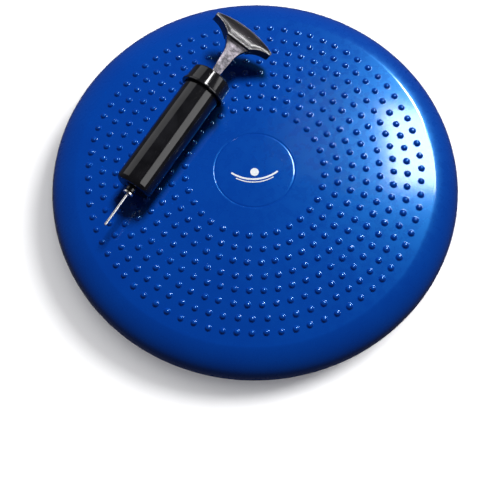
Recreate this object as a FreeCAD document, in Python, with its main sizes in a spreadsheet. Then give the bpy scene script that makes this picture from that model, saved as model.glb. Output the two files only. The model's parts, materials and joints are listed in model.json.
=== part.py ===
import math
import os
import re

import FreeCAD
import Part
import Sketcher

# Round wobble cushion (inflated balance disc) with its hand pump lying on top.
# Millimetres. The origin is the centre of the disc on the floor, +Z is up.
# The cushion is two moulded PVC skins welded at the rim. Small nubs cover the upper face and
# larger nubs cover the underside. The pump's own pieces are modelled along a local +X axis that
# runs from the needle to the handle, and one placement lays the whole pump on the cushion.

V = FreeCAD.Vector

SIZES = {
    # cushion: each half is a shallow dome that meets a rounded rim at a crease
    "rim_radius": 165.0,
    "crease_radius": 144.0,
    "half_height": 26.0,
    "face_drop": 7.75,
    "rim_bulge": 35.0,
    "skin_wall": 3.8,
    # the inner crease sits closer to the axis by this share of the wall
    "inner_crease_share": 0.1667,
    "weld_height": 2.0,
    # round moulded line in the middle of the upper face
    "medallion_radius": 32.0,
    "medallion_line": 0.8,
    "medallion_cutter_height": 3.0,
    # nubs: fine ones on the upper face, coarse ones on the underside
    "fine_first_ring": 55.5,
    "fine_ring_step": 11.15,
    "fine_ring_total": 8.0,
    "fine_first_count": 32.0,
    "fine_count_step": 6.0,
    "fine_nub_radius": 2.3,
    "fine_nub_height": 2.0,
    "coarse_first_ring": 50.0,
    "coarse_ring_step": 10.5,
    "coarse_ring_total": 9.0,
    "coarse_first_count": 32.0,
    "coarse_count_step": 7.0,
    "coarse_nub_radius": 3.2,
    "coarse_nub_height": 2.8,
    "nub_flat_depth": 0.15,
    # air valve in the rear of the rim
    "valve_start": 148.0,
    "valve_hole_radius": 7.3,
    "valve_hole_overrun": 5.0,
    "boss_radius": 7.0,
    "boss_flange_radius": 9.0,
    "boss_flange": 3.0,
    "boss_length": 15.0,
    "boss_bore": 2.6,
    "boss_recess_radius": 4.2,
    "boss_recess_start": 9.0,
    "core_length": 7.5,
    "core_bore": 0.5,
    "plug_gap": 0.2,
    "plug_stem_length": 2.6,
    "plug_head_length": 3.2,
    "plug_head_radius": 4.0,
    "plug_stem_radius": 2.5,
    # how the pump lies on the cushion; heights are above the top of the dome
    "pump_at_x": -94.4,
    "pump_at_y": -15.5,
    "pump_axis_height": 14.7,
    "pump_plan_angle": 54.55,
    "pump_pitch": 2.7,
    "pump_roll": 20.0,
    # pump barrel; places along the pump are measured from the inside of its floor
    "barrel_start": -6.5,
    "barrel_length": 110.5,
    "barrel_low_radius": 15.4,
    "barrel_top_radius": 15.8,
    "barrel_bore": 13.7,
    "barrel_end_round": 4.0,
    "neck_radius": 4.2,
    "neck_length": 3.5,
    "floor_depth": 6.5,
    "insert_radius": 3.2,
    "insert_bore": 2.13,
    "flap_radius": 5.4,
    "flap_thickness": 1.0,
    "cage_hole": 3.5,
    "cage_skirt_radius": 11.5,
    "cage_thickness": 2.4,
    # piston and plunger
    "piston_start": 5.0,
    "piston_radius": 13.5,
    "piston_length": 9.0,
    "groove_start": 3.6,
    "groove_end": 6.4,
    "groove_radius": 11.2,
    "ring_centre_radius": 12.45,
    "ring_section": 1.2,
    "spigot_radius": 3.0,
    "spigot_length": 4.0,
    "bumper_radius": 9.0,
    "bumper_thickness": 3.0,
    "rod_start": 14.0,
    "rod_half_width": 3.5,
    "rod_thickness": 7.0,
    "rod_taper_start": 96.0,
    "rod_flare_start": 115.5,
    "rod_flare_half_width": 4.9,
    "rod_end_half_width": 13.0,
    "rod_length": 130.5,
    "scoop_radius": 21.9,
    "scoop_offset": 26.8,
    # handle grip
    "grip_start": 144.5,
    "grip_height": 14.0,
    "grip_width": 54.5,
    "grip_thickness": 15.0,
    "crown_radius": 85.0,
    "scoop_before_grip": 15.0,
    "dish_depth": 3.0,
    "dish_half_height": 5.0,
    "dish_half_width": 22.0,
    "dish_rise": 1.0,
    # cap, its guide and its gasket
    "cap_start": 94.1,
    "cap_length": 15.5,
    "cap_depth": 12.5,
    "cap_bore": 16.2,
    "cap_lip_radius": 18.9,
    "cap_lip": 1.6,
    "cap_low_radius": 17.9,
    "cap_top_radius": 17.0,
    "cap_top_chamfer": 1.2,
    "slot_clearance": 0.3,
    "gasket_start": 104.0,
    "gasket_thickness": 1.0,
    "guide_start": 100.0,
    "guide_spigot": 5.0,
    "guide_length": 6.6,
    "guide_spigot_radius": 13.55,
    "guide_flange_radius": 16.0,
    # needle
    "collar_start": -9.3,
    "collar_radius": 4.4,
    "collar_thickness": 2.0,
    "stem_radius": 2.05,
    "stem_end": 8.3,
    "seal_start": -7.3,
    "seal_bore": 2.2,
    "seal_radius": 3.8,
    "seal_thickness": 0.8,
    "needle_start": -39.5,
    "needle_length": 38.5,
    "needle_radius": 1.0,
    "needle_bore": 0.55,
    "needle_root_start": 30.2,
    "needle_root_radius": 0.8,
    "needle_tip": 3.0,
    "needle_tip_radius": 0.5,
    "needle_tip_taper": 0.7,
    "needle_eye_radius": 0.4,
    "needle_eye_place": 4.2,
}
# how far each ring of fine nubs is turned about the disc's axis, in degrees
FINE_RING_TURNS = (5.0, -1.5, 1.5, -1.0, 2.0, -2.0, 2.5, -0.5)
# how closely a round edge has to match the place and radius it is looked up by
RING_TOLERANCE = 0.01

doc = FreeCAD.newDocument("wobble_cushion")
parts = []


def make_sheet():
    """The driving sizes, one alias to a row."""
    sheet = doc.addObject("Spreadsheet::Sheet", "Sizes")
    for row, (alias, value) in enumerate(SIZES.items(), start=1):
        sheet.set("A%d" % row, alias)
        sheet.set("B%d" % row, str(value))
        sheet.setAlias("B%d" % row, alias)
    doc.recompute()
    return sheet


sheet = make_sheet()


def size(alias):
    return float(sheet.get(alias))


def bound(text):
    """A formula of the sheet's aliases, written the way setExpression wants it."""
    return re.sub(r"[a-z]\w*", lambda word: "Sizes." + word.group(0), text)


def keep(obj, label, placement=None):
    """Names a finished sub-part, puts it in its place and lists it for export."""
    obj.Label = label
    if placement is not None:
        obj.Placement = placement
    parts.append(obj)
    return obj


# ---------------------------------------------------------------- PartDesign helpers


def origin_plane(body, role):
    return next(f for f in body.Origin.OriginFeatures if f.Role == role)


def new_body(name):
    return doc.addObject("PartDesign::Body", name)


def new_sketch(body, name, role="XY_Plane"):
    sketch = body.newObject("Sketcher::SketchObject", name)
    sketch.AttachmentSupport = [(origin_plane(body, role), "")]
    sketch.MapMode = "FlatFace"
    return sketch


def pin_vertex(sketch, line, x_size, y_size):
    """Ties the start of a line to two formulas of the sheet, or to an axis where one is 0."""
    for kind, axis, formula in (("DistanceX", -2, x_size), ("DistanceY", -1, y_size)):
        if formula == "0":
            sketch.addConstraint(Sketcher.Constraint("PointOnObject", line, 1, axis))
            continue
        number = sketch.addConstraint(
            Sketcher.Constraint(kind, -1, 1, line, 1, 1.0 + line)
        )
        sketch.setExpression("Constraints[%d]" % number, bound(formula))


def draw_outline(sketch, corners):
    """A closed outline of straight lines whose corners are (x, y) formulas."""
    count = len(corners)
    for i in range(count):
        start = V(i, i * i, 0)
        end = V((i + 1) % count, ((i + 1) % count) ** 2, 0)
        sketch.addGeometry(Part.LineSegment(start, end), False)
    for i in range(count):
        sketch.addConstraint(Sketcher.Constraint("Coincident", i, 2, (i + 1) % count, 1))
    for i, (x_size, y_size) in enumerate(corners):
        pin_vertex(sketch, i, x_size, y_size)


def lathe(name, corners):
    """A turned piece: an outline of (place along X, radius) turned about the X axis."""
    body = new_body(name)
    sketch = new_sketch(body, name + "_profile")
    draw_outline(sketch, corners)
    turned = body.newObject("PartDesign::Revolution", name + "_turned")
    turned.Profile = sketch
    turned.ReferenceAxis = (sketch, ["H_Axis"])
    turned.Angle = 360.0
    doc.recompute()
    return body


def tube(length, outer, inner):
    """The outline of a plain tube that starts at the local origin."""
    return [("0", inner), ("0", outer), (length, outer), (length, inner)]


# ---------------------------------------------------------------- Part helpers


def primitive(kind, name, position=V(0, 0, 0), axis=V(0, 0, 1), **formulas):
    """A Part primitive whose properties are bound to the sheet."""
    obj = doc.addObject("Part::" + kind, name)
    for prop, formula in formulas.items():
        obj.setExpression(prop, bound(formula))
    obj.Placement = FreeCAD.Placement(position, FreeCAD.Rotation(V(0, 0, 1), axis))
    return obj


def cut(name, base, tool):
    obj = doc.addObject("Part::Cut", name)
    obj.Base = base
    obj.Tool = tool
    return obj


def slot_block(name, start, length, clearance):
    """The rectangular prism of the rod's section, with a gap all round, along local X."""
    gap = size("slot_clearance") if clearance else 0.0
    block = doc.addObject("Part::Box", name)
    extra = " + 2 * slot_clearance" if clearance else ""
    block.setExpression("Length", bound(length))
    block.setExpression("Width", bound("2 * rod_half_width" + extra))
    block.setExpression("Height", bound("rod_thickness" + extra))
    corner = V(start, -size("rod_half_width") - gap, -size("rod_thickness") / 2 - gap)
    block.Placement = FreeCAD.Placement(corner, FreeCAD.Rotation())
    return block


# ---------------------------------------------------------------- places


def face_sphere_radius():
    """Radius of the shallow sphere that each face of the disc is part of."""
    return (size("crease_radius") ** 2 + size("face_drop") ** 2) / (2 * size("face_drop"))


def drop_at(radius):
    """How far the face lies below the top of its dome at a distance from the axis."""
    sphere = face_sphere_radius()
    return sphere - math.sqrt(sphere ** 2 - radius ** 2)


def middle_height():
    """Height of the rim weld, so that the innermost coarse nubs stand on the floor."""
    tip = size("coarse_nub_height") - drop_at(size("coarse_first_ring"))
    return size("half_height") + tip - size("nub_flat_depth")


def pump_frame():
    """The pump's local frame: its X axis runs from the needle to the handle."""
    top = middle_height() + size("half_height")
    position = V(size("pump_at_x"), size("pump_at_y"), top + size("pump_axis_height"))
    yaw = FreeCAD.Rotation(V(0, 0, 1), size("pump_plan_angle"))
    pitch = FreeCAD.Rotation(V(0, 1, 0), -size("pump_pitch"))
    roll = FreeCAD.Rotation(V(1, 0, 0), size("pump_roll"))
    return FreeCAD.Placement(position, yaw * pitch * roll)


def on_pump(alias):
    """A place along the pump, given by the sheet's alias for it."""
    return pump_frame() * FreeCAD.Placement(V(size(alias), 0, 0), FreeCAD.Rotation())


def on_valve(offset):
    """A place along the valve, whose axis leaves the rim to the rear."""
    position = V(0, size("valve_start") + offset, middle_height())
    return FreeCAD.Placement(position, FreeCAD.Rotation(V(1, 0, 0), V(0, 1, 0)))


# ---------------------------------------------------------------- cushion


def half_profile(inset):
    """Dome and rim of one half, as two edges from the axis to the weld, the middle at z 0."""
    top = size("half_height") - inset
    reach = size("rim_radius") - inset
    bulge = size("rim_bulge") - inset
    centre = size("rim_radius") - size("rim_bulge")
    crease = size("crease_radius") - inset * size("inner_crease_share")
    crease_height = top - drop_at(crease)
    rim_height = crease_height / math.sqrt(1 - ((crease - centre) / bulge) ** 2)
    middle = V(crease / 2, 0, top - drop_at(crease / 2))
    dome = Part.Arc(V(0, 0, top), middle, V(crease, 0, crease_height)).toShape()
    oval = Part.Ellipse(V(reach, 0, 0), V(centre, 0, rim_height), V(centre, 0, 0))
    low = math.asin(size("weld_height") / 2 / rim_height)
    high = oval.parameter(V(crease, 0, crease_height))
    return dome, Part.Edge(oval, low, high)


def smooth_half():
    """One skin without nubs: the space between its outer and inner profiles, turned about Z."""
    outer = half_profile(0.0)
    inner = half_profile(size("skin_wall"))
    edges = list(outer) + list(inner)
    edges.append(Part.makeLine(ends_of(outer)[0], ends_of(inner)[0]))
    edges.append(Part.makeLine(ends_of(outer)[1], ends_of(inner)[1]))
    wire = Part.Wire(Part.__sortEdges__(edges))
    return Part.Face(wire).revolve(V(0, 0, 0), V(0, 0, 1), 360)


def ends_of(profile):
    """The end of a profile on the axis, and its end at the weld."""
    points = [vertex.Point for edge in profile for vertex in edge.Vertexes]
    return min(points, key=lambda p: p.x), max(points, key=lambda p: p.x)


def nub_ball(radius, turn, nub_radius, nub_height):
    """A ball whose cap stands out of the face as a nub of that height."""
    ball = (nub_radius ** 2 + nub_height ** 2) / (2 * nub_height)
    height = size("half_height") - drop_at(radius) + nub_height - ball
    angle = math.radians(turn)
    centre = V(radius * math.cos(angle), radius * math.sin(angle), height)
    return Part.makeSphere(ball, centre)


def nub_balls(kind, turns):
    """Every nub of one face, ring by ring."""
    balls = []
    for ring in range(int(size(kind + "_ring_total"))):
        radius = size(kind + "_first_ring") + ring * size(kind + "_ring_step")
        count = int(size(kind + "_first_count") + ring * size(kind + "_count_step"))
        for i in range(count):
            turn = turns(ring, count) + 360.0 * i / count
            balls.append(
                nub_ball(radius, turn, size(kind + "_nub_radius"), size(kind + "_nub_height"))
            )
    return balls


def valve_hole(side):
    """The round hole that lets the valve through the rim, on the +Y or the -Y side."""
    length = size("rim_radius") - size("valve_start") + size("valve_hole_overrun")
    start = V(0, side * size("valve_start"), 0)
    return Part.makeCylinder(size("valve_hole_radius"), length, start, V(0, side, 0))


def medallion_groove():
    """The ring that cuts the moulded line round the middle of the upper face."""
    middle = size("medallion_radius")
    half_line = size("medallion_line") / 2
    height = size("medallion_cutter_height")
    base = V(0, 0, size("half_height") - drop_at(middle) - half_line)
    outer = Part.makeCylinder(middle + half_line, height, base)
    return outer.cut(Part.makeCylinder(middle - half_line, height, base))


def trimmed_at_floor(ball):
    """A nub ball with everything past the floor plane cut off, which leaves a flat tip."""
    bounds = ball.BoundBox
    if bounds.ZMax <= middle_height():
        return ball
    side = bounds.XLength
    below = Part.makeBox(side, side, side, V(bounds.XMin, bounds.YMin, middle_height()))
    return ball.cut(below).Solids[0]


def make_skin(label, shape, turn_over):
    """Domed skins have an elliptical rim and hundreds of nubs, so their shape is set directly."""
    skin = doc.addObject("Part::Feature", label)
    skin.Shape = shape.removeSplitter().Solids[0]
    rotation = FreeCAD.Rotation(V(1, 0, 0), 180.0 if turn_over else 0.0)
    keep(skin, label, FreeCAD.Placement(V(0, 0, middle_height()), rotation))


def make_upper_skin():
    smooth = smooth_half().cut(valve_hole(1)).cut(medallion_groove())
    nubs = nub_balls("fine", lambda ring, count: FINE_RING_TURNS[ring])
    make_skin("upper_skin", smooth.multiFuse(nubs), False)


def make_lower_skin():
    smooth = smooth_half().cut(valve_hole(-1))
    nubs = nub_balls("coarse", lambda ring, count: 180.0 / count * (ring % 2))
    make_skin("lower_skin", smooth.multiFuse([trimmed_at_floor(nub) for nub in nubs]), True)


def make_rim_weld():
    """The welded band between the two skins, open where the valve passes."""
    outer = primitive("Cylinder", "weld_outer", Radius="rim_radius", Height="weld_height")
    inner = primitive(
        "Cylinder", "weld_inner", Radius="rim_radius - skin_wall", Height="weld_height"
    )
    band = cut("weld_band", outer, inner)
    hole = primitive(
        "Cylinder",
        "weld_hole",
        V(0, size("valve_start"), size("weld_height") / 2),
        V(0, 1, 0),
        Radius="valve_hole_radius",
        Height="rim_radius - valve_start + valve_hole_overrun",
    )
    weld = cut("rim_weld", band, hole)
    height = middle_height() - size("weld_height") / 2
    keep(weld, "rim_weld", FreeCAD.Placement(V(0, 0, height), FreeCAD.Rotation()))


def make_valve():
    boss = lathe(
        "valve_boss",
        [
            ("0", "boss_bore"),
            ("0", "boss_flange_radius"),
            ("boss_flange", "boss_flange_radius"),
            ("boss_flange", "boss_radius"),
            ("boss_length", "boss_radius"),
            ("boss_length", "boss_recess_radius"),
            ("boss_recess_start", "boss_recess_radius"),
            ("boss_recess_start", "boss_bore"),
        ],
    )
    keep(boss, "valve_boss", on_valve(0.0))
    core = lathe("valve_core", tube("core_length", "boss_bore", "core_bore"))
    keep(core, "valve_core", on_valve(0.0))
    plug = lathe(
        "valve_plug",
        [
            ("0", "0"),
            ("0", "plug_stem_radius"),
            ("plug_stem_length", "plug_stem_radius"),
            ("plug_stem_length", "plug_head_radius"),
            ("plug_stem_length + plug_head_length", "plug_head_radius"),
            ("plug_stem_length + plug_head_length", "0"),
        ],
    )
    keep(plug, "valve_plug", on_valve(size("core_length") + size("plug_gap")))


# ---------------------------------------------------------------- pump barrel and outlet


def make_barrel():
    body = lathe(
        "pump_barrel",
        [
            ("0", "insert_radius"),
            ("0", "neck_radius"),
            ("neck_length", "neck_radius"),
            ("neck_length", "barrel_low_radius"),
            ("barrel_length", "barrel_top_radius"),
            ("barrel_length", "barrel_bore"),
            ("floor_depth", "barrel_bore"),
            ("floor_depth", "insert_radius"),
        ],
    )
    turned = body.Tip
    edge = find_ring(turned.Shape, size("neck_length"), size("barrel_low_radius"))
    rounding = body.newObject("PartDesign::Fillet", "barrel_rounding")
    rounding.Base = (turned, [edge])
    rounding.setExpression("Radius", bound("barrel_end_round"))
    keep(body, "pump_barrel", on_pump("barrel_start"))


def find_ring(shape, place, radius):
    """The name of the round edge at a place along X that has the given radius."""
    for number, edge in enumerate(shape.Edges, start=1):
        curve = edge.Curve
        if not isinstance(curve, Part.Circle):
            continue
        off_place = abs(curve.Center.x - place)
        off_radius = abs(curve.Radius - radius)
        if max(off_place, off_radius) < RING_TOLERANCE:
            return "Edge%d" % number
    raise ValueError("no round edge of radius %g at %g" % (radius, place))


def make_outlet():
    insert = lathe("nozzle_insert", tube("floor_depth", "insert_radius", "insert_bore"))
    keep(insert, "nozzle_insert", on_pump("barrel_start"))
    flap = lathe("outlet_flap", tube("flap_thickness", "flap_radius", "0"))
    keep(flap, "outlet_flap", pump_frame())
    cage = lathe(
        "flap_cage",
        [
            ("0", "cage_skirt_radius"),
            ("0", "barrel_bore"),
            ("cage_thickness", "barrel_bore"),
            ("cage_thickness", "cage_hole"),
            ("flap_thickness", "cage_hole"),
            ("flap_thickness", "cage_skirt_radius"),
        ],
    )
    keep(cage, "flap_cage", pump_frame())


# ---------------------------------------------------------------- needle


def make_needle():
    collar = lathe(
        "needle_collar",
        [
            ("0", "needle_root_radius"),
            ("0", "collar_radius"),
            ("collar_thickness", "collar_radius"),
            ("collar_thickness", "stem_radius"),
            ("stem_end", "stem_radius"),
            ("stem_end", "needle_root_radius"),
        ],
    )
    keep(collar, "needle_collar", on_pump("collar_start"))
    seal = lathe("needle_seal", tube("seal_thickness", "seal_radius", "seal_bore"))
    keep(seal, "needle_seal", on_pump("seal_start"))
    shaft = lathe(
        "needle_tube",
        [
            ("0", "0"),
            ("0", "needle_tip_radius"),
            ("needle_tip_taper", "needle_radius"),
            ("needle_root_start", "needle_radius"),
            ("needle_root_start", "needle_root_radius"),
            ("needle_length", "needle_root_radius"),
            ("needle_length", "needle_bore"),
            ("needle_tip", "needle_bore"),
            ("needle_tip", "0"),
        ],
    )
    eye = shaft.newObject("PartDesign::SubtractiveCylinder", "needle_eye")
    eye.setExpression("Radius", bound("needle_eye_radius"))
    eye.setExpression("Height", bound("2 * needle_radius"))
    eye.Placement = FreeCAD.Placement(V(size("needle_eye_place"), 0, 0), FreeCAD.Rotation())
    keep(shaft, "needle_tube", on_pump("needle_start"))


# ---------------------------------------------------------------- piston, rod and grip


def make_piston():
    head = lathe(
        "piston_head",
        [
            ("0", "0"),
            ("0", "piston_radius"),
            ("groove_start", "piston_radius"),
            ("groove_start", "groove_radius"),
            ("groove_end", "groove_radius"),
            ("groove_end", "piston_radius"),
            ("piston_length", "piston_radius"),
            ("piston_length", "spigot_radius"),
            ("piston_length - spigot_length", "spigot_radius"),
            ("piston_length - spigot_length", "0"),
        ],
    )
    keep(head, "piston_head", on_pump("piston_start"))
    ring = primitive("Torus", "piston_ring", Radius1="ring_centre_radius", Radius2="ring_section")
    middle = size("piston_start") + (size("groove_start") + size("groove_end")) / 2
    across = FreeCAD.Placement(V(middle, 0, 0), FreeCAD.Rotation(V(0, 1, 0), 90))
    keep(ring, "piston_ring", pump_frame() * across)
    disc = primitive(
        "Cylinder", "bumper_disc", V(0, 0, 0), V(1, 0, 0),
        Radius="bumper_radius", Height="bumper_thickness",
    )
    bumper = cut("rod_bumper", disc, slot_block("bumper_slot", 0.0, "bumper_thickness", False))
    keep(bumper, "rod_bumper", on_pump("rod_start"))


def make_rod():
    """The flat rod: a long parallel part, a taper above the cap and a flare under the grip."""
    body = new_body("plunger_rod")
    sketch = new_sketch(body, "rod_outline")
    half = [
        ("0", "rod_half_width"),
        ("rod_taper_start", "rod_half_width"),
        ("rod_flare_start", "rod_flare_half_width"),
        ("rod_flare_start", "rod_end_half_width"),
        ("rod_length", "rod_end_half_width"),
    ]
    mirrored = [(x_size, "-" + y_size) for x_size, y_size in reversed(half)]
    draw_outline(sketch, half + mirrored)
    pad = body.newObject("PartDesign::Pad", "rod_pad")
    pad.Profile = sketch
    pad.setExpression("Length", bound("rod_thickness"))
    pad.Midplane = True
    doc.recompute()
    for side in (1, -1):
        scoop = body.newObject("PartDesign::SubtractiveCylinder", "rod_scoop")
        scoop.setExpression("Radius", bound("scoop_radius"))
        scoop.setExpression("Height", bound("rod_thickness"))
        centre = V(size("rod_flare_start"), side * size("scoop_offset"), -size("rod_thickness") / 2)
        scoop.Placement = FreeCAD.Placement(centre, FreeCAD.Rotation())
    spigot = body.newObject("PartDesign::AdditiveCylinder", "rod_spigot")
    spigot.setExpression("Radius", bound("spigot_radius"))
    spigot.setExpression("Height", bound("spigot_length"))
    spigot.Placement = FreeCAD.Placement(V(0, 0, 0), FreeCAD.Rotation(V(0, 0, 1), V(-1, 0, 0)))
    keep(body, "plunger_rod", on_pump("rod_start"))


def make_grip():
    """The saddle grip: convex along its top, scooped under both ends, dished on both faces."""
    block = doc.addObject("Part::Box", "grip_block")
    block.setExpression("Length", bound("grip_height"))
    block.setExpression("Width", bound("grip_width"))
    block.setExpression("Height", bound("grip_thickness"))
    low = V(0, -size("grip_width") / 2, -size("grip_thickness") / 2)
    block.Placement = FreeCAD.Placement(low, FreeCAD.Rotation())
    crown = primitive(
        "Cylinder", "grip_crown",
        V(size("grip_height") - size("crown_radius"), 0, -size("grip_thickness") / 2),
        Radius="crown_radius", Height="grip_thickness",
    )
    crowned = doc.addObject("Part::Common", "grip_crowned")
    crowned.Base = block
    crowned.Tool = crown
    cutters = []
    for side in (1, -1):
        cutters.append(primitive(
            "Cylinder", "grip_scoop",
            V(-size("scoop_before_grip"), side * size("scoop_offset"), -size("grip_thickness") / 2),
            Radius="scoop_radius", Height="grip_thickness",
        ))
        cutters.append(primitive(
            "Ellipsoid", "grip_dish",
            V(size("grip_height") / 2 + size("dish_rise"), 0, side * size("grip_thickness") / 2),
            Radius1="dish_depth", Radius2="dish_half_height", Radius3="dish_half_width",
        ))
    tools = doc.addObject("Part::MultiFuse", "grip_cutters")
    tools.Shapes = cutters
    keep(cut("handle_grip", crowned, tools), "handle_grip", on_pump("grip_start"))


# ---------------------------------------------------------------- cap


def make_cap():
    turned = lathe(
        "cap_shell",
        [
            ("0", "cap_bore"),
            ("0", "cap_lip_radius"),
            ("cap_lip", "cap_lip_radius"),
            ("cap_lip", "cap_low_radius"),
            ("cap_length - cap_top_chamfer", "cap_top_radius"),
            ("cap_length", "cap_top_radius - cap_top_chamfer"),
            ("cap_length", "0"),
            ("cap_depth", "0"),
            ("cap_depth", "cap_bore"),
        ],
    )
    cap = cut("barrel_cap", turned, slot_block("cap_slot", 0.0, "cap_length", True))
    keep(cap, "barrel_cap", on_pump("cap_start"))
    gasket = lathe("cap_gasket", tube("gasket_thickness", "barrel_top_radius", "barrel_bore"))
    keep(gasket, "cap_gasket", on_pump("gasket_start"))
    solid_guide = lathe(
        "guide_turned",
        [
            ("0", "0"),
            ("0", "guide_spigot_radius"),
            ("guide_spigot", "guide_spigot_radius"),
            ("guide_spigot", "guide_flange_radius"),
            ("guide_length", "guide_flange_radius"),
            ("guide_length", "0"),
        ],
    )
    guide = cut("rod_guide", solid_guide, slot_block("guide_slot", 0.0, "guide_length", True))
    keep(guide, "rod_guide", on_pump("guide_start"))


# ---------------------------------------------------------------- check and export


def check_document():
    for obj in doc.Objects:
        if "Invalid" in obj.State or "Error" in obj.State:
            raise ValueError("%s did not build: %s" % (obj.Label, obj.State))
    for part in parts:
        shape = part.Shape
        if shape.isNull() or not shape.isValid() or not shape.Solids:
            raise ValueError("%s has no valid solid" % part.Label)


def export_parts():
    os.makedirs("parts", exist_ok=True)
    for part in parts:
        part.Shape.exportStep(os.path.join("parts", part.Label + ".step"))


# ---------------------------------------------------------------- build

make_upper_skin()
make_lower_skin()
make_rim_weld()
make_valve()
make_barrel()
make_outlet()
make_needle()
make_piston()
make_rod()
make_grip()
make_cap()
doc.recompute()
check_document()
export_parts()
for part in parts:
    box = part.Shape.BoundBox
    print("%-14s %9.1f mm3  x %7.2f %7.2f  y %7.2f %7.2f  z %6.2f %6.2f" % (
        part.Label, part.Shape.Volume, box.XMin, box.XMax, box.YMin, box.YMax, box.ZMin, box.ZMax))
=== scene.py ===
"""Looks of the wobble cushion and its hand pump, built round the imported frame. Metres throughout."""

import json
import math
import random

import bmesh
import bpy
from mathutils import Matrix, Vector

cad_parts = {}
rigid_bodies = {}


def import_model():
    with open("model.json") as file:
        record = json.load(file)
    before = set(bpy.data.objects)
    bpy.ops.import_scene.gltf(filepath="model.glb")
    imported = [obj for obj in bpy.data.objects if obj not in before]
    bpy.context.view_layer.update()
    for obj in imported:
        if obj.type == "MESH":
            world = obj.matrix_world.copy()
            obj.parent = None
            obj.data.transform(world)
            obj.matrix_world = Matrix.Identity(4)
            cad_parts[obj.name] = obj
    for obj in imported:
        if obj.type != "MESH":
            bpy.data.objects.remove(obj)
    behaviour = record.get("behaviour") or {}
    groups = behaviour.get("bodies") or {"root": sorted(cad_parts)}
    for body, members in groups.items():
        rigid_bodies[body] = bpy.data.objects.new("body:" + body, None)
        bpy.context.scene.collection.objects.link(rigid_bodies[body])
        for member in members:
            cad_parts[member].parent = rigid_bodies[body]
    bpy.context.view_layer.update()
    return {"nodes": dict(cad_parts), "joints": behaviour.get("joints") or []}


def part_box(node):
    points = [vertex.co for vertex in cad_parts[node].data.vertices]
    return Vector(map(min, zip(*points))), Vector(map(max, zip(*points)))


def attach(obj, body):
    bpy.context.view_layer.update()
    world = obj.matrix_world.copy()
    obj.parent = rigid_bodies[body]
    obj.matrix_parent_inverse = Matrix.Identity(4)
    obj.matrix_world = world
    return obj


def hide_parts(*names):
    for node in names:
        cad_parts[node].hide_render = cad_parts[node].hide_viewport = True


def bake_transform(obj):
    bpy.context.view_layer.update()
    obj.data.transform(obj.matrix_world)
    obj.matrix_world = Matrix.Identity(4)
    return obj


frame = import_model()

MM = 0.001
JOINTS = {joint["name"]: joint for joint in frame["joints"]}

# Cushion: the same dome and rim as the CAD skins.
weld_low, weld_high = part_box("rim_weld")
MIDDLE = (weld_low.z + weld_high.z) / 2
RIM_RADIUS = weld_high.x
CREASE_RADIUS = 144 * MM
HALF_HEIGHT = 26 * MM
FACE_DROP = 7.75 * MM
RIM_BULGE = 35 * MM
SKIN_WALL = 3.8 * MM
HALF_WELD = (weld_high.z - weld_low.z) / 2
FACE_SPHERE = (CREASE_RADIUS ** 2 + FACE_DROP ** 2) / (2 * FACE_DROP)
TOP = MIDDLE + HALF_HEIGHT
RIM_SEGMENTS = 288
MIDDLE_SEGMENTS = 120
INSIDE_SEGMENTS = 72
INSIDE_CREASE_SHARE = 1 / 6    # how far the inside's crease moves in, as a share of the wall
MOULDED_SHARP_ANGLE = 50       # degrees; edges sharper than this stay crisp on moulded pieces
TURNED_SHARP_ANGLE = 35        # the same for turned pieces

FINE_NUBS = {
    "first_ring": 55.5 * MM,
    "ring_step": 11.15 * MM,
    "counts": [32 + 6 * ring for ring in range(8)],
    "turns": [5.0, -1.5, 1.5, -1.0, 2.0, -2.0, 2.5, -0.5],
    "radius": 2.3 * MM,
    "height": 2.0 * MM,
    "wander": 0.35 * MM,
}
COARSE_NUBS = {
    "first_ring": 50 * MM,
    "ring_step": 10.5 * MM,
    "counts": [32 + 7 * ring for ring in range(9)],
    "turns": [180.0 / (32 + 7 * ring) * (ring % 2) for ring in range(9)],
    "radius": 3.2 * MM,
    "height": 2.8 * MM,
    "wander": 0.0,
}
NUB_SEED = 7
NUB_GROWTH = 0.05      # largest change of a nub's size, as a share of it
BAND_SHARE = 0.43      # half the width of a ring's band, as a share of the step between rings
CELL_SIDE = 5          # mesh points along each side of a nub's square cell
# loops of a nub from its foot to near its tip, as (share of its radius, share of its height)
NUB_LOOPS = (
    (1.4, 0.0), (1.3, 0.0), (1.2, 0.02), (1.1, 0.1),
    (1.0, 0.27), (0.88, 0.52), (0.7, 0.77), (0.42, 0.94),
)
MEDALLION_RADIUS = 32 * MM
VALVE_START = 148 * MM     # where the valve's boss begins, out from the cushion's axis

# Pump: its local X axis runs from the needle to the handle; places are measured from the barrel's floor.
PUMP_AXIS = Vector(JOINTS["plunger_stroke"]["axis"]).normalized()
COLLAR_FRONT = -9.3    # millimetres
PUMP_ROLL = math.radians(20)
# Rod and grip outline in millimetres: the same circles scoop the flare and the grip.
ROD_HALF_WIDTH = 3.5
ROD_HALF_THICKNESS = 3.5
TAPER_PLACE = 110.0
SCOOP_PLACE = 129.5
SCOOP_RADIUS = 21.9
SCOOP_OFFSET = 26.8
FLARE_HALF_WIDTH = SCOOP_OFFSET - SCOOP_RADIUS
GRIP_PLACE = 144.5
GRIP_HEIGHT = 14.0
GRIP_HALF_WIDTH = 27.25
GRIP_HALF_THICKNESS = 7.5
CROWN_RADIUS = 85.0
DISH_DEPTH = 2.6
DISH_HALF_WIDTH = 25.5
DISH_SHARE = 0.92      # share of the grip's height that the dish takes up

PUMP_PIECES = (
    "pump_barrel_shell", "pump_cap_shell", "needle_collar_turned", "needle_shaft",
    "plunger_rod_bar", "handle_grip_saddle",
)


# ---------------------------------------------------------------- mesh helpers


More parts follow.
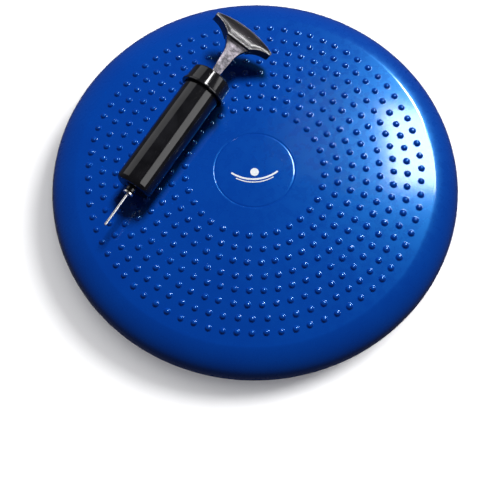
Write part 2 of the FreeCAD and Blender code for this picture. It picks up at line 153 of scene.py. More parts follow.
def new_object(name, points, faces, smooth_angle=None):
    """A mesh object with outward faces and smooth shading, split at sharp angles if one is given."""
    mesh = bpy.data.meshes.new(name)
    mesh.from_pydata([tuple(p) for p in points], [], faces)
    mesh.validate()
    obj = bpy.data.objects.new(name, mesh)
    bpy.context.scene.collection.objects.link(obj)
    work = bmesh.new()
    work.from_mesh(mesh)
    bmesh.ops.recalc_face_normals(work, faces=work.faces)
    work.to_mesh(mesh)
    work.free()
    mesh.shade_smooth()
    if smooth_angle is not None:
        mesh.set_sharp_from_angle(angle=math.radians(smooth_angle))
    return obj


class Surface:
    """Points and faces gathered loop by loop."""

    def __init__(self):
        self.points = []
        self.faces = []

    def add(self, points):
        """Adds points and gives their numbers."""
        start = len(self.points)
        self.points.extend(points)
        return list(range(start, len(self.points)))

    def circle(self, radius, height, count):
        """A level loop of points round the Z axis."""
        turn = 2 * math.pi / count
        return self.add([
            (radius * math.cos(i * turn), radius * math.sin(i * turn), height) for i in range(count)
        ])

    def join(self, first, second):
        """Faces between two closed loops of equal count."""
        count = len(first)
        for i in range(count):
            j = (i + 1) % count
            self.faces.append((first[i], first[j], second[j], second[i]))

    def zip(self, first, second):
        """Triangles between two closed loops round the Z axis that may differ in count."""
        first, a = self.by_angle(first)
        second, b = self.by_angle(second)
        i = j = 0
        while i < len(first) or j < len(second):
            p, q = first[i % len(first)], second[j % len(second)]
            if j == len(second) or (i < len(first) and a[i + 1] <= b[j + 1]):
                i += 1
                self.faces.append((p, first[i % len(first)], q))
            else:
                j += 1
                self.faces.append((p, second[j % len(second)], q))

    def by_angle(self, loop):
        """The loop started at its smallest angle, with the angles and one turn more at the end."""
        angles = [math.atan2(self.points[k][1], self.points[k][0]) % (2 * math.pi) for k in loop]
        start = angles.index(min(angles))
        turned = loop[start:] + loop[:start]
        angles = angles[start:] + angles[:start]
        return turned, angles + [angles[0] + 2 * math.pi]

    def fan(self, loop, centre):
        """Triangles between a closed loop and one point."""
        for i in range(len(loop)):
            self.faces.append((loop[i], loop[(i + 1) % len(loop)], centre))


def rounded(corners, radius, steps=4, closed=True):
    """A 2D outline whose corners are replaced by small arcs."""
    most_of_side = 0.45
    nearly_straight = math.radians(172)
    too_short = 1e-6
    count = len(corners)
    out = []
    for i, corner in enumerate(corners):
        here = Vector(corner)
        if not closed and i in (0, count - 1):
            out.append(here)
            continue
        before = Vector(corners[i - 1]) - here
        after = Vector(corners[(i + 1) % count]) - here
        bend = before.angle(after, math.pi)
        shorter_side = min(before.length, after.length)
        reach = min(radius / math.tan(bend / 2), shorter_side * most_of_side)
        if bend > nearly_straight or reach < too_short:
            out.append(here)
            continue
        start = here + before.normalized() * reach
        end = here + after.normalized() * reach
        for s in range(steps + 1):
            t = s / steps
            out.append(start * (1 - t) ** 2 + here * 2 * t * (1 - t) + end * t ** 2)
    return out


def lathe(name, profile, segments, closed=True):
    """A turned piece about the local X axis; the profile is (place along X, radius)."""
    on_axis = 1e-7
    surface = Surface()
    loops = []
    for x, radius in profile:
        if radius < on_axis:
            loops.append(surface.add([(x, 0, 0)]))
            continue
        loops.append(surface.add([
            (x, radius * math.cos(2 * math.pi * i / segments), radius * math.sin(2 * math.pi * i / segments))
            for i in range(segments)
        ]))
    pairs = list(zip(loops, loops[1:]))
    if closed:
        pairs.append((loops[-1], loops[0]))
    for first, second in pairs:
        if len(first) == 1 and len(second) == 1:
            continue
        if len(first) == 1:
            surface.fan(second, first[0])
        elif len(second) == 1:
            surface.fan(first, second[0])
        else:
            surface.join(first, second)
    return new_object(name, surface.points, surface.faces, TURNED_SHARP_ANGLE)


def apply_modifiers(obj):
    """Puts the modified mesh in place of the plain one."""
    graph = bpy.context.evaluated_depsgraph_get()
    mesh = bpy.data.meshes.new_from_object(obj.evaluated_get(graph))
    obj.modifiers.clear()
    obj.data = mesh


def carve(obj, tool):
    """Cuts the tool's shape out of a closed mesh."""
    hole = obj.modifiers.new("hole", "BOOLEAN")
    hole.object = tool
    hole.operation = "DIFFERENCE"
    hole.solver = "EXACT"
    apply_modifiers(obj)


# ---------------------------------------------------------------- cushion shape


def dome_drop(radius):
    """How far the domed face has fallen below its top at a distance from the axis."""
    return FACE_SPHERE - math.sqrt(FACE_SPHERE ** 2 - radius ** 2)


def face_height(x, y):
    """Height of the smooth face above the weld's middle."""
    return HALF_HEIGHT - dome_drop(math.hypot(x, y))


def nub_band(surface, nubs, ring, chance):
    """One ring of nubs: a band of square cells, each with a round nub in it."""
    radius = nubs["first_ring"] + ring * nubs["ring_step"]
    count = nubs["counts"][ring]
    half_band = BAND_SHARE * nubs["ring_step"]
    half_cell = math.pi * radius / count
    first_turn = math.radians(nubs["turns"][ring])

    def on_circle(out, cell, along):
        """A point of the band, a way out from the ring and part of the way along a cell."""
        turn = first_turn + (2 * math.pi / count) * (cell - 0.5 + along)
        x, y = (radius + out) * math.cos(turn), (radius + out) * math.sin(turn)
        return (x, y, face_height(x, y))

    steps = [j / CELL_SIDE for j in range(CELL_SIDE)]
    cells = range(count)
    inner = surface.add([on_circle(-half_band, cell, step) for cell in cells for step in steps])
    outer = surface.add([on_circle(half_band, cell, step) for cell in cells for step in steps])
    sides = [
        surface.add([on_circle(half_band * (2 * step - 1), cell, 0) for step in steps[1:]])
        for cell in cells
    ]
    # the square's outline as (along, out), walked the same way as the loop below
    square = [(2 * s - 1, -1) for s in steps] + [(1, 2 * s - 1) for s in steps]
    square += [(1 - 2 * s, 1) for s in steps] + [(-1, 1 - 2 * s) for s in steps]
    bearings = [math.atan2(out * half_band, along * half_cell) for along, out in square]
    for cell in cells:
        after = (cell + 1) % count
        low, high = cell * CELL_SIDE, after * CELL_SIDE
        loop = inner[low:low + CELL_SIDE] + [inner[high]] + sides[after] + [outer[high]]
        loop += outer[low + 1:low + CELL_SIDE][::-1] + [outer[low]] + sides[cell][::-1]
        turn = first_turn + 2 * math.pi * cell / count
        shift_out, shift_along = (chance.uniform(-1, 1) * nubs["wander"] for _ in range(2))
        grow = 1 + chance.uniform(-NUB_GROWTH, NUB_GROWTH)
        out_way = Vector((math.cos(turn), math.sin(turn)))
        along_way = Vector((-math.sin(turn), math.cos(turn)))
        centre = out_way * (radius + shift_out) + along_way * shift_along
        for share, lift in NUB_LOOPS:
            reach = share * nubs["radius"] * grow
            flat = [
                centre + along_way * reach * math.cos(b) + out_way * reach * math.sin(b)
                for b in bearings
            ]
            next_loop = surface.add([
                (p.x, p.y, face_height(p.x, p.y) + lift * nubs["height"]) for p in flat
            ])
            surface.join(loop, next_loop)
            loop = next_loop
        tip = surface.add([(centre.x, centre.y, face_height(centre.x, centre.y) + nubs["height"])])
        surface.fan(loop, tip[0])
    return inner, outer


def rim_oval(inset, step, steps):
    """A point (radius, height) of the rim's oval, from the crease at step 0 to the weld at the last step."""
    centre = RIM_RADIUS - RIM_BULGE
    bulge = RIM_BULGE - inset
    crease = CREASE_RADIUS - inset * INSIDE_CREASE_SHARE
    crease_height = HALF_HEIGHT - inset - dome_drop(crease)
    rise = crease_height / math.sqrt(1 - ((crease - centre) / bulge) ** 2)
    high = math.asin(crease_height / rise)
    low = math.asin(HALF_WELD / rise)
    angle = high + (low - high) * step / steps
    return centre + bulge * math.cos(angle), rise * math.sin(angle)


def cushion_half(name, nubs, medallion, upside_down):
    """One skin as a closed solid: nubbed face, crease, rim, weld edge and plain inside."""
    surface = Surface()
    chance = random.Random(NUB_SEED)
    middle = surface.add([(0, 0, HALF_HEIGHT)])
    last = None
    for radius, dip in middle_rings(medallion):
        loop = surface.circle(radius, HALF_HEIGHT - dome_drop(radius) - dip, MIDDLE_SEGMENTS)
        if last is None:
            surface.fan(loop, middle[0])
        else:
            surface.join(last, loop)
        last = loop
    for ring in range(len(nubs["counts"])):
        inner, outer = nub_band(surface, nubs, ring, chance)
        surface.zip(last, inner)
        last = outer
    band_edge = math.hypot(*surface.points[last[0]][:2])
    plain_edge = CREASE_RADIUS - 0.8 * MM
    joined = False
    for share in (0.3, 0.6, 0.85, 1.0):
        radius = band_edge + (plain_edge - band_edge) * share
        loop = surface.circle(radius, HALF_HEIGHT - dome_drop(radius), RIM_SEGMENTS)
        if joined:
            surface.join(last, loop)
        else:
            surface.zip(last, loop)
        joined = True
        last = loop
    rim_steps = 26
    for step in range(rim_steps + 1):
        radius, height = rim_oval(0, step, rim_steps)
        loop = surface.circle(radius, height, RIM_SEGMENTS)
        surface.join(last, loop)
        last = loop
    inner_steps = 12
    for step in range(inner_steps, -1, -1):
        radius, height = rim_oval(SKIN_WALL, step, inner_steps)
        loop = surface.circle(radius, height, RIM_SEGMENTS)
        surface.join(last, loop)
        last = loop
    for radius in (120 * MM, 80 * MM, 40 * MM):
        loop = surface.circle(radius, HALF_HEIGHT - SKIN_WALL - dome_drop(radius), INSIDE_SEGMENTS)
        surface.zip(last, loop)
        last = loop
    inside = surface.add([(0, 0, HALF_HEIGHT - SKIN_WALL)])
    surface.fan(last, inside[0])
    flip = -1 if upside_down else 1
    above_floor = 0.02 * MM
    points = [(x, flip * y, max(MIDDLE + flip * z, above_floor)) for x, y, z in surface.points]
    return new_object(name, points, surface.faces, MOULDED_SHARP_ANGLE)


def middle_rings(medallion):
    """Radius and dip of the loops of the plain middle, with the moulded line if there is one."""
    rings = [(8 * MM, 0), (16 * MM, 0), (24 * MM, 0)]
    if medallion:
        line, groove = 0.7 * MM, 0.22 * MM
        rings += [(MEDALLION_RADIUS - 2 * line, 0), (MEDALLION_RADIUS - line, 0)]
        rings += [(MEDALLION_RADIUS - line / 3, groove), (MEDALLION_RADIUS + line / 3, groove)]
        rings += [(MEDALLION_RADIUS + line, 0), (MEDALLION_RADIUS + 2 * line, 0)]
    else:
        rings.append((MEDALLION_RADIUS, 0))
    return rings + [(38 * MM, 0)]


def valve_tool():
    """A cylinder that cuts the valve's hole through the rear of the rim."""
    radius = 7.3 * MM
    end = 175 * MM
    profile = [(VALVE_START, 0), (VALVE_START, radius), (end, radius), (end, 0)]
    tool = lathe("valve_tool", profile, 48, closed=False)
    tool.data.transform(Matrix.Rotation(math.pi / 2, 4, "Z"))
    tool.data.transform(Matrix.Translation((0, 0, MIDDLE)))
    return tool


def make_cushion(tool):
    """Both skins and the seam between them, with the valve's hole cut through all three."""
    upper = cushion_half("upper_skin_soft", FINE_NUBS, medallion=True, upside_down=False)
    lower = cushion_half("lower_skin_soft", COARSE_NUBS, medallion=False, upside_down=True)
    inside, edge, proud = RIM_RADIUS - SKIN_WALL, RIM_RADIUS - 0.05 * MM, RIM_RADIUS + 0.3 * MM
    flat = HALF_WELD * 0.35
    seam_profile = [
        (-HALF_WELD, inside), (-HALF_WELD, edge), (-flat, proud),
        (flat, proud), (HALF_WELD, edge), (HALF_WELD, inside),
    ]
    seam = lathe("rim_seam", rounded(seam_profile, 0.3 * MM), RIM_SEGMENTS)
    seam.data.transform(Matrix.Rotation(-math.pi / 2, 4, "Y"))
    seam.data.transform(Matrix.Translation((0, 0, MIDDLE)))
    for piece in (upper, lower, seam):
        carve(piece, tool)
    for piece, node in ((upper, "upper_skin"), (lower, "lower_skin"), (seam, "rim_weld")):
        piece.data.materials.append(pvc_material())
        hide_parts(node)
    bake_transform(upper)
    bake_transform(lower)
    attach(seam, "rim")


# ---------------------------------------------------------------- printed mark


def make_print():
    """A plain printed sign in the medallion: a ball over a rocker arc, as a thin ink layer."""
    surface = Surface()
    ink = 0.12 * MM
    steps = 40

    def patch(rows):
        """Faces between rows of points laid on the dome."""
        loops = [
            surface.add([(x, y, TOP - dome_drop(math.hypot(x, y)) + ink) for x, y in row])
            for row in rows
        ]
        for first, second in zip(loops, loops[1:]):
            for i in range(len(first) - 1):
                surface.faces.append((first[i], first[i + 1], second[i + 1], second[i]))

    def arc(radius, width, half_angle, low):
        """A curved bar that is lowest in its middle."""
        rows = []
        for r in (radius - width / 2, radius + width / 2):
            row = []
            for i in range(steps + 1):
                turn = math.radians(-90 - half_angle + 2 * half_angle * i / steps)
                row.append((r * math.cos(turn), low + radius + r * math.sin(turn)))
            rows.append(row)
        patch(rows)

    arc(radius=30 * MM, width=1.5 * MM, half_angle=38, low=-8 * MM)
    arc(radius=30 * MM, width=0.8 * MM, half_angle=30, low=-10.5 * MM)
    ball, ball_centre, pinhole = 3.4 * MM, -1.8 * MM, 0.05 * MM
    turns = [2 * math.pi * i / steps for i in range(steps + 1)]
    patch([
        [(r * math.cos(turn), r * math.sin(turn) + ball_centre) for turn in turns]
        for r in (pinhole, ball / 2, ball)
    ])
    mark = new_object("medallion_print", surface.points, surface.faces)
    up = Vector((0, 0, 1))
    for face in mark.data.polygons:
        if face.normal.dot(up) < 0:
            mark.data.flip_normals()
            break
    mark.data.materials.append(ink_material())
    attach(mark, "upper")


# ---------------------------------------------------------------- pump shape


def pump_matrix():
    """Carries the pump's local axes into the shared frame."""
    start = Vector(JOINTS["needle_unscrew"]["pos_m"]) - PUMP_AXIS * COLLAR_FRONT * MM
    level = Vector((0, 0, 1)).cross(PUMP_AXIS).normalized()
    rise = PUMP_AXIS.cross(level)
    side = level * math.cos(PUMP_ROLL) + rise * math.sin(PUMP_ROLL)
    up = rise * math.cos(PUMP_ROLL) - level * math.sin(PUMP_ROLL)
    columns = Matrix((PUMP_AXIS, side, up)).transposed()
    return Matrix.Translation(start) @ columns.to_4x4()


def place_on_pump(obj, body, material, nodes):
    """Puts a piece drawn in the pump's local axes in its place, with its looks, body and CAD nodes."""
    obj.matrix_world = pump_matrix()
    obj.data.materials.append(material)
    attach(obj, body)
    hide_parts(*nodes)


def scaled(profile):
    """A profile given in millimetres, in metres."""
    return [(x * MM, r * MM) for x, r in profile]


def make_barrel():
    """The tube: a short plain neck, a rounded lower end, a slightly tapered wall and an open mouth."""
    neck_front, neck_back, front, floor, mouth = -6.47, -3.6, -3.0, 0.0, 104.0
    outlet, neck, shoulder, low_wall, high_wall, bore = 3.2, 4.2, 5.4, 15.4, 15.8, 13.7
    outer = [
        (neck_front, outlet), (neck_front, neck), (neck_back, neck), (front, shoulder), (front, low_wall),
        (mouth, high_wall), (mouth, bore), (floor, bore), (floor, outlet),
    ]
    profile = rounded(scaled(outer), 0.4 * MM, 3)
    # the corner of the lower end is taken out and a much wider one put in its place
    low_corner = scaled([(front, shoulder), (front, low_wall), (mouth, high_wall)])
    wide_curve = rounded(low_corner, 4.4 * MM, 10, closed=False)
    near_wall, near_mouth, clear_of_neck = 14 * MM, 90 * MM, 8 * MM
    start = next(i for i, p in enumerate(profile) if p.y > near_wall and p.x < 0)
    end = next(i for i, p in enumerate(profile) if p.x > near_mouth)
    wide_curve = [p for p in wide_curve if p.y > clear_of_neck and p.x < near_mouth]
    barrel = lathe("pump_barrel_shell", profile[:start] + wide_curve + profile[end:], 128)
    place_on_pump(barrel, "pump", gloss_black_material(), ["pump_barrel"])


def make_cap():
    """The cap: a lipped skirt over the barrel's mouth, a tapered wall and a top with the rod's hole."""
    skirt_start, lip_end, wall_start, roof, wall_end, top = 94.1, 95.7, 95.9, 106.6, 108.4, 109.6
    bore, lip, wall_low, wall_high, top_edge, rod_hole = 16.2, 18.9, 17.9, 17.0, 15.8, 6.4
    corners = [
        (skirt_start, bore), (skirt_start, lip), (lip_end, lip), (wall_start, wall_low),
        (wall_end, wall_high), (top, top_edge), (top, rod_hole), (roof, rod_hole), (roof, bore),
    ]
    cap = lathe("pump_cap_shell", rounded(scaled(corners), 0.5 * MM, 4), 128)
    place_on_pump(cap, "pump", gloss_black_material(), ["barrel_cap"])


def make_needle():
    """The turned collar with its spigot, and the fine shaft that it holds."""
    collar_back, spigot_end, collar, spigot, hole = -7.3, -1.0, 4.4, 2.05, 0.95
    profile = [
        (COLLAR_FRONT, hole), (COLLAR_FRONT, collar), (collar_back, collar),
        (collar_back, spigot), (spigot_end, spigot), (spigot_end, hole),
    ]
    piece = lathe("needle_collar_turned", rounded(scaled(profile), 0.35 * MM, 3), 48)
    place_on_pump(piece, "needle", steel_material(), ["needle_collar"])
    tip, tip_back, step_start, shaft_end = -39.5, -38.9, -9.5, -1.2
    tip_radius, shaft, held = 0.55, 1.0, 0.93
    profile = [
        (tip, 0), (tip, tip_radius), (tip_back, shaft), (step_start, shaft),
        (COLLAR_FRONT, held), (shaft_end, held), (shaft_end, 0),
    ]
    piece = lathe("needle_shaft", rounded(scaled(profile), 0.3 * MM, 3, closed=False), 32, closed=False)
    place_on_pump(piece, "needle", steel_material(), ["needle_tube"])


def rod_half_width(x):
    """Half the width of the plunger's outline above the cap, in millimetres from its axis."""
    if x < TAPER_PLACE:
        return ROD_HALF_WIDTH
    if x < SCOOP_PLACE:
        share = (x - TAPER_PLACE) / (SCOOP_PLACE - TAPER_PLACE)
        return ROD_HALF_WIDTH + (FLARE_HALF_WIDTH - ROD_HALF_WIDTH) * share
    return SCOOP_OFFSET - math.sqrt(max(0.0, SCOOP_RADIUS ** 2 - (x - SCOOP_PLACE) ** 2))


def make_rod():
    """The flat rod: parallel inside the barrel, tapered above the cap and flared under the grip."""
    start, step, count, overlap, edge_round = 14.0, 1.5, 23, 0.1, 0.6
    sharp_angle, painted_glare_face_limit = 40, 0.5
    places = [start] + [TAPER_PLACE + step * i for i in range(count)] + [GRIP_PLACE + overlap]
    thick = ROD_HALF_THICKNESS
    surface = Surface()
    last = None
    for x in places:
        half = rod_half_width(min(x, GRIP_PLACE))
        corners = [(-half, -thick), (half, -thick), (half, thick), (-half, thick)]
        section = rounded(corners, edge_round, 3)
        loop = surface.add([(x * MM, p.x * MM, p.y * MM) for p in section])
        if last is None:
            surface.faces.append(tuple(loop))
        else:
            surface.join(last, loop)
        last = loop
    surface.faces.append(tuple(last))
    rod = new_object("plunger_rod_bar", surface.points, surface.faces, sharp_angle)
    place_on_pump(rod, "plunger", rod_painted_glare_material(), ["plunger_rod"])
    rod.data.materials.append(gloss_black_material())
    # faces turned up or down get the painted reflection of glare (grey); the side walls keep the plain gloss
    # black
    for face in rod.data.polygons:
        face.material_index = 0 if abs(face.normal.z) > painted_glare_face_limit else 1


def grip_low(y):
    """Lower edge of the grip at a distance from its middle, in millimetres along the pump."""
    across = min(abs(y), SCOOP_OFFSET)
    if across <= rod_half_width(GRIP_PLACE):
        return GRIP_PLACE
    return SCOOP_PLACE + math.sqrt(max(0.0, SCOOP_RADIUS ** 2 - (SCOOP_OFFSET - across) ** 2))


def grip_high(y):
    """Upper edge of the grip, its crown, at a distance from its middle."""
    return GRIP_PLACE + GRIP_HEIGHT - (CROWN_RADIUS - math.sqrt(CROWN_RADIUS ** 2 - y ** 2))


def make_grip():
    """A saddle grip with a convex crown, scooped flanks, flat ends and a dish in each face."""
    surface = Surface()
    columns, rows = 72, 18
    end_thinning = 0.9
    length_power, height_power = 0.8, 1.5    # how squarely the dish ends along the grip and across it
    sheets = []
    for side in (1, -1):
        grid = []
        for c in range(columns + 1):
            y = GRIP_HALF_WIDTH * (2 * c / columns - 1)
            low, high = grip_low(y), grip_high(y)
            along = max(0.0, 1 - (y / DISH_HALF_WIDTH) ** 2) ** length_power
            line = []
            for r in range(rows + 1):
                v = r / rows
                across = max(0.0, 1 - ((2 * v - 1) / DISH_SHARE) ** 2) ** height_power
                dish = DISH_DEPTH * along * across
                thin = GRIP_HALF_THICKNESS - end_thinning * (y / GRIP_HALF_WIDTH) ** 2
                line.append(((low + (high - low) * v) * MM, y * MM, side * (thin - dish) * MM))
            grid.append(surface.add(line))
        sheets.append(grid)
    for grid in sheets:
        for c in range(columns):
            for r in range(rows):
                surface.faces.append((grid[c][r], grid[c + 1][r], grid[c + 1][r + 1], grid[c][r + 1]))
    borders = []
    for grid in sheets:
        border = [grid[c][0] for c in range(columns)] + [grid[columns][r] for r in range(rows)]
        border += [grid[c][rows] for c in range(columns, 0, -1)] + [grid[0][r] for r in range(rows, 0, -1)]
        borders.append(border)
    surface.join(borders[0], borders[1])
    grip = new_object("handle_grip_saddle", surface.points, surface.faces)
    bevel = grip.modifiers.new("edge", "BEVEL")
    bevel.width = 0.9 * MM
    bevel.segments = 3
    bevel.limit_method = "ANGLE"
    bevel.angle_limit = math.radians(MOULDED_SHARP_ANGLE)
    apply_modifiers(grip)
    grip.data.shade_smooth()
    grip.data.set_sharp_from_angle(angle=math.radians(MOULDED_SHARP_ANGLE))
    place_on_pump(grip, "plunger", grip_material(), ["handle_grip"])


# ---------------------------------------------------------------- valve


def make_valve():
    """The valve's boss and plug, turned about an axis that leaves the rim to the rear."""
    outward = Matrix.Translation((0, VALVE_START, MIDDLE)) @ Matrix.Rotation(math.pi / 2, 4, "Z")
    flange_end, recess_floor, boss_end = 3, 9, 15
    core_hole, recess, wall, flange = 2.6, 4.2, 7, 9
    boss_profile = [
        (0, core_hole), (0, flange), (flange_end, flange), (flange_end, wall),
        (boss_end, wall), (boss_end, recess), (recess_floor, recess), (recess_floor, core_hole),
    ]
    boss = lathe("valve_boss_ring", rounded(scaled(boss_profile), 0.5 * MM), 64)
    stem_start, head_start, dimple_floor, head_end = 7.7, 10.3, 12.9, 13.5
    stem, head, dimple_rim, dimple = 2.5, 4.0, 1.6, 1.2
    plug_profile = [
        (stem_start, 0), (stem_start, stem), (head_start, stem), (head_start, head),
        (head_end, head), (head_end, dimple_rim), (dimple_floor, dimple), (dimple_floor, 0),
    ]
    plug = lathe("valve_plug_cap", rounded(scaled(plug_profile), 0.35 * MM, closed=False), 64, closed=False)
    for piece, body, node, slot, material in (
        (boss, "rim", "valve_boss", "bladder_pvc", pvc_material()),
        (plug, "plug", "valve_plug", "plug_plastic", plug_material()),
    ):
        piece.matrix_world = outward
        piece.data.materials.append(material)
        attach(piece, body)
        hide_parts(node)


# ---------------------------------------------------------------- materials

# materials made here, by name; the CAD nodes bring plain ones of their own that are not used
MADE = {}
NOISE_LOW = 0.3        # a noise is stretched from this value
NOISE_HIGH = 0.7       # to this one


def new_material(name, **sockets):
    """A Principled material with its tree and shader."""
    material = bpy.data.materials.new(name)
    material.use_nodes = True
    shader = next(n for n in material.node_tree.nodes if n.type == "BSDF_PRINCIPLED")
    for socket, value in sockets.items():
        shader.inputs[socket.replace("_", " ")].default_value = value
    return material, material.node_tree, shader


def noise(tree, scale, detail, rough=0.5):
    """A noise texture in the object's own coordinates; the scale is per metre."""
    place = tree.nodes.get("place") or tree.nodes.new("ShaderNodeTexCoord")
    place.name = "place"
    node = tree.nodes.new("ShaderNodeTexNoise")
    node.inputs["Scale"].default_value = scale
    node.inputs["Detail"].default_value = detail
    node.inputs["Roughness"].default_value = rough
    tree.links.new(place.outputs["Object"], node.inputs["Vector"])
    return node.outputs["Fac"]


def ramp(tree, value, low, high, low_place=NOISE_LOW, high_place=NOISE_HIGH):
    """Two colours mixed by a value."""
    node = tree.nodes.new("ShaderNodeValToRGB")
    node.color_ramp.elements[0].position = low_place
    node.color_ramp.elements[1].position = high_place
    node.color_ramp.elements[0].color = (*low, 1)
    node.color_ramp.elements[1].color = (*high, 1)
    tree.links.new(value, node.inputs["Fac"])
    return node.outputs["Color"]


def grey_range(tree, value, low, high):
    """A number that runs from low to high with a value."""
    node = tree.nodes.new("ShaderNodeMapRange")
    node.inputs["From Min"].default_value = NOISE_LOW
    node.inputs["From Max"].default_value = NOISE_HIGH
    node.inputs["To Min"].default_value = low
    node.inputs["To Max"].default_value = high
    tree.links.new(value, node.inputs["Value"])
    return node.outputs["Result"]


def bump(tree, shader, value, depth):
    """Bump of a real depth, in metres, on top of any bump the shader has."""
    node = tree.nodes.new("ShaderNodeBump")
    node.inputs["Distance"].default_value = depth
    tree.links.new(value, node.inputs["Height"])
    if shader.inputs["Normal"].is_linked:
        tree.links.new(shader.inputs["Normal"].links[0].from_socket, node.inputs["Normal"])
    tree.links.new(node.outputs["Normal"], shader.inputs["Normal"])


def worked_material(
    name, colours, grain, roughness, rub, bumps=(), places=(NOISE_LOW, NOISE_HIGH), **sockets
):
    """A material made once, whose colour, roughness and relief each follow a noise.

    Colours and roughness run from low to high, with the noises called grain and rub. Places are where
    the colours begin and end on grain. A noise is its scale per metre, its detail and, if it isn't a
    half, its roughness. Each bump is its depth in metres and its noise.
    """
    if name in MADE:
        return MADE[name]
    material, tree, shader = new_material(name, **sockets)
    tree.links.new(ramp(tree, noise(tree, *grain), *colours, *places), shader.inputs["Base Color"])
    tree.links.new(grey_range(tree, noise(tree, *rub), *roughness), shader.inputs["Roughness"])
    for depth, relief in bumps:
        bump(tree, shader, noise(tree, *relief), depth)
    MADE[name] = material
    return material


def pvc_material():
    """Royal blue soft PVC: satin, finely grained, a little uneven in colour."""
    return worked_material(
        "pvc_blue",
        colours=((0.0008, 0.046, 0.35), (0.0010, 0.054, 0.38)), grain=(22, 3),
        roughness=(0.24, 0.32), rub=(160, 4),
        bumps=((0.000004, (1500, 2)), (0.000015, (45, 2))),
        Specular_IOR_Level=0.8, Specular_Tint=(0.0, 0.40, 1.0, 1), Coat_Weight=0.6, Coat_Roughness=0.11,
    )


def ink_material():
    """White printing ink, a little uneven."""
    return worked_material(
        "white_ink",
        colours=((0.75, 0.78, 0.82), (0.9, 0.92, 0.95)), grain=(900, 3),
        roughness=(0.4, 0.55), rub=(400, 2),
        Specular_IOR_Level=0.4,
    )


def gloss_black_material():
    """Moulded black plastic with a hard shine and fine rub marks."""
    return worked_material(
        "gloss_black",
        colours=((0.004, 0.004, 0.005), (0.010, 0.010, 0.012)), grain=(90, 3),
        roughness=(0.06, 0.10), rub=(350, 5),
        bumps=((0.000002, (900, 2)),),
        Specular_IOR_Level=0.5,
    )


def rod_painted_glare_material():
    """Painted reflection: the lamps' glare on the rod's black plastic, painted as a mottled grey colour."""
    return worked_material(
        "rod_painted_glare_grey",
        # these light greys are painted reflection of glare, not the plastic's own colour, which is black
        colours=((0.07, 0.065, 0.08), (0.62, 0.56, 0.64)), grain=(170, 8, 0.75), places=(0.44, 0.64),
        roughness=(0.22, 0.45), rub=(300, 4),
        bumps=((0.00008, (420, 4)),),
        Specular_IOR_Level=0.5,
    )


def grip_material():
    """Satin black plastic with a fine moulded texture."""
    return worked_material(
        "satin_black_plastic",
        colours=((0.016, 0.015, 0.018), (0.034, 0.031, 0.036)), grain=(120, 3),
        roughness=(0.42, 0.50), rub=(260, 4),
        bumps=((0.000003, (1400, 2)),),
        Specular_IOR_Level=0.6,
    )


def steel_material():
    """Plated steel with fine turning marks."""
    return worked_material(
        "plated_steel",
        colours=((0.72, 0.71, 0.71), (0.9, 0.89, 0.88)), grain=(300, 3),
        roughness=(0.2, 0.35), rub=(700, 3),
        bumps=((0.000002, (2500, 2)),),
        Metallic=1.0,
    )


def plug_material():
    """The plug's harder blue plastic."""
    return worked_material(
        "plug_blue",
        colours=((0.001, 0.03, 0.22), (0.002, 0.045, 0.28)), grain=(200, 2),
        roughness=(0.35, 0.5), rub=(500, 2),
        Specular_IOR_Level=0.5,
    )


def inner_material(name, colours, roughness, metallic):
    """A worked material for the small pieces inside the pump and the valve."""
    return worked_material(
        name, colours=colours, grain=(400, 3), roughness=roughness, rub=(700, 3),
        bumps=((0.00001, (1200, 2)),), Metallic=metallic,
    )


def finish_cad_nodes():
    """Materials for the CAD nodes that stay: the pieces inside the pump and the valve."""
    rubber_greys = ((0.012, 0.012, 0.012), (0.03, 0.03, 0.03))
    acetal_whites = ((0.62, 0.62, 0.6), (0.74, 0.74, 0.72))
    brass_yellows = ((0.6, 0.42, 0.16), (0.75, 0.56, 0.25))
    rubber = inner_material("black_seal_rubber", rubber_greys, roughness=(0.5, 0.7), metallic=0.0)
    acetal = inner_material("white_acetal", acetal_whites, roughness=(0.35, 0.5), metallic=0.0)
    brass = inner_material("turned_brass", brass_yellows, roughness=(0.22, 0.36), metallic=1.0)
    for nodes, material in (
        (("valve_core", "outlet_flap", "cap_gasket", "rod_bumper", "piston_ring", "needle_seal"), rubber),
        (("flap_cage", "rod_guide", "piston_head"), acetal),
        (("nozzle_insert",), brass),
    ):
        for node in nodes:
            data = frame["nodes"][node].data
            data.materials.clear()
            data.materials.append(material)


# ---------------------------------------------------------------- stage, light and camera


def make_floor():
    """A wide, plain, pale floor that neither shows in reflections nor lights the object."""
    surface = Surface()
    reach = 6.0
    surface.add([(-reach, -reach, 0), (reach, -reach, 0), (reach, reach, 0), (-reach, reach, 0)])
    surface.faces.append((0, 1, 2, 3))
    floor = new_object("floor", surface.points, surface.faces)
    material, tree, shader = new_material("pale_floor", Roughness=0.6)
    colour = ramp(tree, noise(tree, 3, 2), (0.87, 0.87, 0.88), (0.9, 0.9, 0.91))
    tree.links.new(colour, shader.inputs["Base Color"])
    floor.data.materials.append(material)
    floor.visible_diffuse = False
    floor.visible_glossy = False


def area_light(name, place, facing, width, height, watts, diffuse=True, glossy=True, only=None):
    """A rectangular area light above the cushion, turned as given; only names a set of pieces to light."""
    light = bpy.data.lights.new(name, "AREA")
    light.shape = "RECTANGLE"
    light.size = width
    light.size_y = height
    light.energy = watts
    lamp = bpy.data.objects.new(name, light)
    lamp.location = Vector((0, 0, TOP)) + Vector(place)
    lamp.rotation_euler = facing
    lamp.visible_diffuse = diffuse
    lamp.visible_glossy = glossy
    if only is not None:
        lamp.light_linking.receiver_collection = only
    bpy.context.scene.collection.objects.link(lamp)


def lit_set(name, test):
    """The pieces whose name passes a test, as a set that a lamp can be kept to."""
    pieces = bpy.data.collections.new(name)
    for obj in bpy.data.objects:
        if obj.type == "MESH" and test(obj.name):
            pieces.objects.link(obj)
    return pieces


def softbox(name, direction, distance, width, height, watts, diffuse=True, glossy=True, only=None):
    """A rectangular area light that faces the cushion from a direction."""
    way = Vector(direction).normalized()
    facing = way.to_track_quat("Z", "Y").to_euler()
    area_light(name, way * distance, facing, width, height, watts, diffuse, glossy, only)


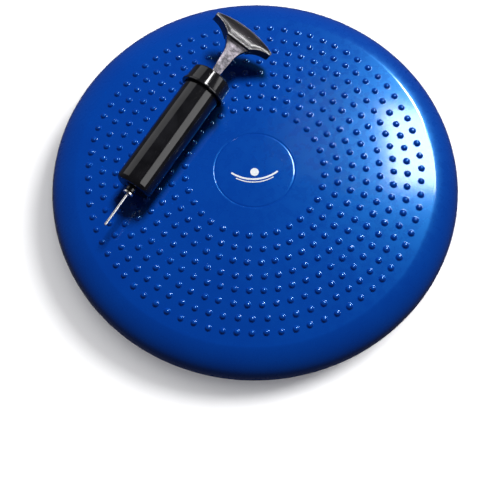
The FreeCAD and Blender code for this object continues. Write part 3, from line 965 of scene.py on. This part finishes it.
def floor_sun(name, direction, spread, strength, only, shadow=True):
    """A wide, even light for the floor alone, so that it stays pale out to its far edge."""
    light = bpy.data.lights.new(name, "SUN")
    light.energy = strength
    light.angle = math.radians(spread)
    light.use_shadow = shadow
    lamp = bpy.data.objects.new(name, light)
    lamp.rotation_euler = Vector(direction).to_track_quat("Z", "Y").to_euler()
    lamp.visible_glossy = False
    lamp.light_linking.receiver_collection = only
    bpy.context.scene.collection.objects.link(lamp)


def make_world():
    """A dim room, a little darker overhead; the camera itself sees a pale backdrop."""
    world = bpy.data.worlds.new("room")
    world.use_nodes = True
    tree = world.node_tree
    bright = tree.nodes["Background"]
    place = tree.nodes.new("ShaderNodeTexCoord")
    split = tree.nodes.new("ShaderNodeSeparateXYZ")
    tree.links.new(place.outputs["Generated"], split.inputs["Vector"])
    level, overhead = (0.07, 0.07, 0.09), (0.04, 0.04, 0.045)
    sky = ramp(tree, split.outputs["Z"], level, overhead, low_place=0.1, high_place=0.9)
    path = tree.nodes.new("ShaderNodeLightPath")
    pale = tree.nodes.new("ShaderNodeBackground")
    pale.inputs["Color"].default_value = (0.9, 0.9, 0.9, 1)
    mix = tree.nodes.new("ShaderNodeMixShader")
    tree.links.new(sky, bright.inputs["Color"])
    tree.links.new(path.outputs["Is Camera Ray"], mix.inputs["Fac"])
    tree.links.new(bright.outputs["Background"], mix.inputs[1])
    tree.links.new(pale.outputs["Background"], mix.inputs[2])
    tree.links.new(mix.outputs["Shader"], tree.nodes["World Output"].inputs["Surface"])
    bpy.context.scene.world = world


def make_lights():
    """A main lamp, a level panel for the glare, a small lamp for the nubs, panels for pump and floor."""
    pump_set = lit_set("pump_pieces", lambda name: name in PUMP_PIECES)
    floor_set = lit_set("floor_only", lambda name: name == "floor")
    object_set = lit_set("object_pieces", lambda name: name != "floor")
    softbox("main", (0.2, 0.48, 0.85), 2.0, 0.5, 0.5, 46, glossy=False, only=object_set)
    area_light("glare", (1.0, 0.86, 1.6), (0, 0, 0), 0.82, 0.42, 38, diffuse=False)
    softbox("nub_spark", (0.48, 0.58, 0.65), 2.0, 0.3, 0.3, 32, diffuse=False)
    softbox("right", (0.78, -0.27, 0.56), 2.0, 1.4, 1.4, 16, diffuse=False, only=pump_set)
    softbox("back_left", (-0.5, 0.68, 0.45), 2.0, 1.4, 1.6, 6.5, diffuse=False, only=pump_set)
    softbox("pump_fill", (0.3, -0.1, 0.95), 2.0, 0.8, 0.8, 8, glossy=False, only=pump_set)
    floor_sun("floor_key", (0.62, 0.30, 0.72), 28, 3.4, floor_set)
    floor_sun("floor_base", (0, 0, 1), 60, 1.9, floor_set, shadow=False)


def make_camera():
    """The photographer's place: high over the front edge, with a long lens and a slight roll."""
    data = bpy.data.cameras.new("camera")
    data.sensor_width = 36
    data.lens = 86.8
    camera = bpy.data.objects.new("camera", data)
    across, forward, above = -5.9 * MM, -391.3 * MM, 878.9 * MM
    camera.location = (across, forward, TOP + above)
    look_down = 69.79
    tilt = math.radians(90 - look_down)
    roll = math.radians(-2.12)
    camera.rotation_euler = (Matrix.Rotation(tilt, 3, "X") @ Matrix.Rotation(roll, 3, "Z")).to_euler()
    bpy.context.scene.collection.objects.link(camera)
    bpy.context.scene.camera = camera


# ---------------------------------------------------------------- build

bpy.context.scene.view_settings.view_transform = "Standard"
make_camera()
make_floor()
make_world()
valve_cutter = valve_tool()
make_cushion(valve_cutter)
bpy.data.objects.remove(valve_cutter)
make_print()
make_barrel()
make_cap()
make_needle()
make_rod()
make_grip()
make_valve()
finish_cad_nodes()
make_lights()
